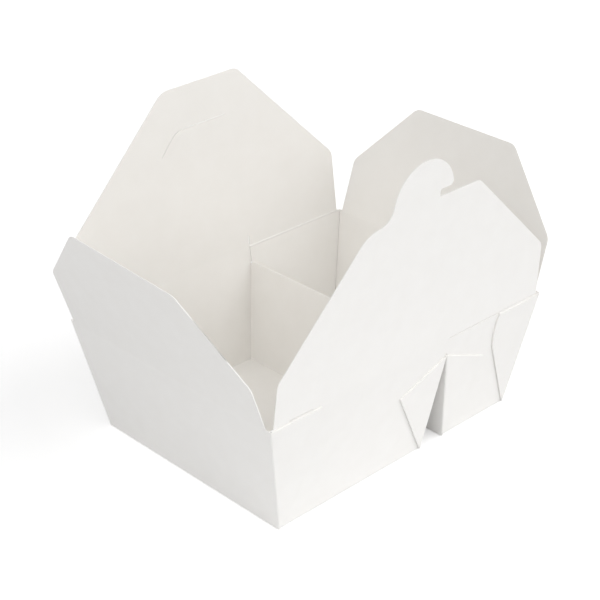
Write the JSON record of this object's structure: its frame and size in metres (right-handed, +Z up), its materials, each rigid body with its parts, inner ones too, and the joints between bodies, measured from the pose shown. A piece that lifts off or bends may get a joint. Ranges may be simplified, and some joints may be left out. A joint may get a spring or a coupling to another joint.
{
  "type": "takeout food box",
  "caption": "Open paperboard takeout box folded from one sheet, with two compartments, a tented divider, webbed corners and four lid flaps, one with a locking tab.",
  "frame": {"origin": "middle of the footprint, on the surface that the box stands on", "axes": "+Z up, +X along the box from the large compartment to the small one, -Y towards the long wall whose flap carries the locking tab"},
  "size_m": [0.2689, 0.1849, 0.1942],
  "materials": {
    "board": "smooth white food board, matte"
  },
  "bodies": {
    "tray": {"tray": "board"},
    "hook_flap": {"hook_flap": "board"},
    "slot_flap": {"slot_flap": "board"},
    "left_end_flap": {"left_end_flap": "board"},
    "right_end_flap": {"right_end_flap": "board"}
  },
  "joints": [
    {"name": "hook_flap_fold", "type": "hinge", "parent": "tray", "child": "hook_flap", "pos_m": [0, -0.083, 0.0745], "axis": [-1, 0, 0], "range_deg": [-116, 91]},
    {"name": "slot_flap_fold", "type": "hinge", "parent": "tray", "child": "slot_flap", "pos_m": [0, 0.083, 0.0745], "axis": [1, 0, 0], "range_deg": [-115, 95]},
    {"name": "left_end_flap_fold", "type": "hinge", "parent": "tray", "child": "left_end_flap", "pos_m": [-0.10979, 0, 0.0735], "axis": [0, 1, 0], "range_deg": [-101.5, 110.5]},
    {"name": "right_end_flap_fold", "type": "hinge", "parent": "tray", "child": "right_end_flap", "pos_m": [0.10979, 0, 0.0735], "axis": [0, -1, 0], "range_deg": [-102.5, 109.5]}
  ]
}
